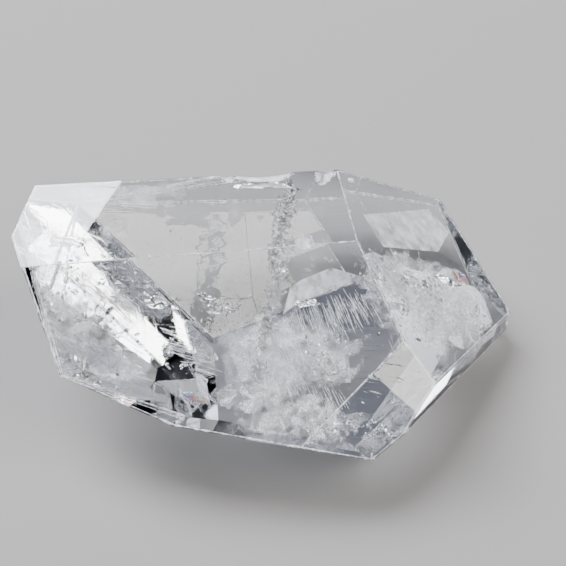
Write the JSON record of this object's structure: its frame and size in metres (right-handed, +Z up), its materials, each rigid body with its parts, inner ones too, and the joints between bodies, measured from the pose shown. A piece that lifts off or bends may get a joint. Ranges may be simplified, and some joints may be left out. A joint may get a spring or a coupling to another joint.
{
  "type": "quartz crystal",
  "caption": "Clear rock crystal cut and polished as a lying point with flat facets, milky veils and chipped edges, resting on one flat facet.",
  "frame": {"origin": "middle of the bounding box in plan, on the plane of the flat facet that it rests on", "axes": "+X along the crystal towards its pointed end, +Y to the back, +Z up from the resting facet"},
  "size_m": [0.0548, 0.0368, 0.0229],
  "materials": {
    "clear_quartz": "polished"
  },
  "bodies": {
    "root": {"quartz_crystal": "clear_quartz"}
  },
  "joints": []
}
